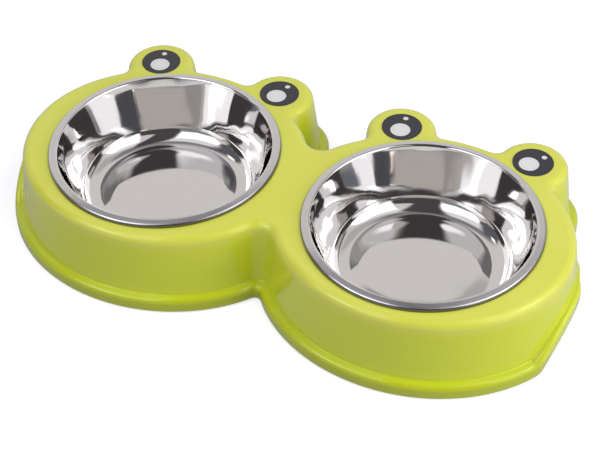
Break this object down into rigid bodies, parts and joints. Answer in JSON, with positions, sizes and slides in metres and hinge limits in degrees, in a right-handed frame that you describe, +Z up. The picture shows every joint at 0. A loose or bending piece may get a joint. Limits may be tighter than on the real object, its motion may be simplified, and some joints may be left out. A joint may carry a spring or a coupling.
{
  "type": "double pet bowl",
  "caption": "Double pet bowl: steel dishes that lift out of a moulded plastic stand, outlined as twin frog heads with round eyes, on rubber feet.",
  "frame": {"origin": "on the floor, under the middle of the stand's outline", "axes": "+X along the row of bowls, +Y from the bowls towards the eyes, +Z up"},
  "size_m": [0.3414, 0.1862, 0.0507],
  "materials": {
    "stand_plastic": "glossy moulded lime green",
    "bowl_steel": "mirror-polished inside, satin rim",
    "eye_white": "off-white vinyl film",
    "eye_black": "charcoal printed film",
    "foot_rubber": "soft black rubber"
  },
  "bodies": {
    "stand": {"stand": "stand_plastic", "eye_white_1": "eye_white", "eye_white_2": "eye_white", "eye_white_3": "eye_white", "eye_white_4": "eye_white", "eye_black_1": "eye_black", "eye_black_2": "eye_black", "eye_black_3": "eye_black", "eye_black_4": "eye_black", "foot_1": "foot_rubber", "foot_2": "foot_rubber", "foot_3": "foot_rubber", "foot_4": "foot_rubber", "foot_5": "foot_rubber", "foot_6": "foot_rubber", "foot_7": "foot_rubber", "foot_8": "foot_rubber"},
    "left_bowl": {"left_bowl": "bowl_steel"},
    "right_bowl": {"right_bowl": "bowl_steel"}
  },
  "joints": [
    {"name": "left_bowl_lift", "type": "slide", "parent": "stand", "child": "left_bowl", "axis": [0, 0, 1], "range_m": [0, 0.06]},
    {"name": "right_bowl_lift", "type": "slide", "parent": "stand", "child": "right_bowl", "axis": [0, 0, 1], "range_m": [0, 0.06]}
  ]
}
